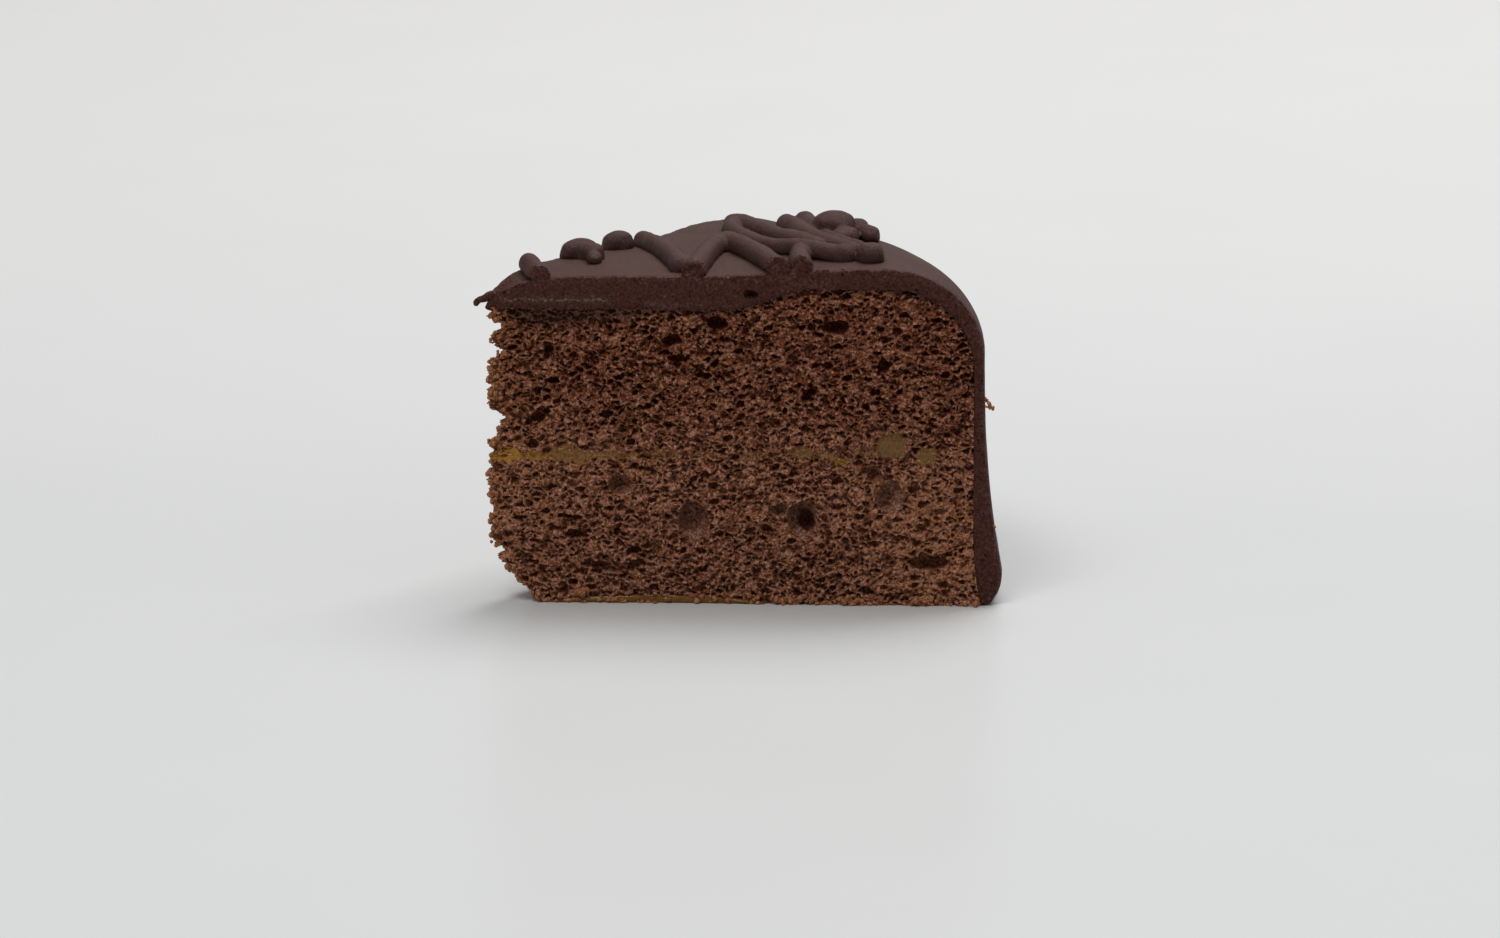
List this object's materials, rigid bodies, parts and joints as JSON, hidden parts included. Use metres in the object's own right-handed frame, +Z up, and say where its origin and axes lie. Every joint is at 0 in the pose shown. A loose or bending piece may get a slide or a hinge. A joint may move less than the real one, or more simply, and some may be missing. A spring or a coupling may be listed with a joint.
{
  "type": "sachertorte cake slice",
  "caption": "Wedge of chocolate torte with jam between the sponge layers, poured chocolate icing over the top and rim, and piped chocolate drops and strings.",
  "frame": {"origin": "under the middle of the slice's box, on the surface it stands on", "axes": "+X along the near cut from the tip to the rim, +Y across the slice from the near cut to the far one, +Z up"},
  "size_m": [0.082, 0.066, 0.0579],
  "materials": {
    "sponge": "porous dark brown crumb, fully matt",
    "jam": "translucent amber jam, mostly soaked into the crumb",
    "icing": "set dark chocolate with a soft sheen and a fine grain",
    "piping": "set dark chocolate with a soft sheen"
  },
  "bodies": {
    "root": {"sponge_lower": "sponge", "sponge_upper": "sponge", "jam_filling": "jam", "jam_base": "jam", "icing": "icing", "piped_drop_tip": "piping", "piped_drop_middle": "piping", "piped_drop_far": "piping", "piped_arch": "piping", "piped_scroll": "piping"}
  },
  "joints": []
}
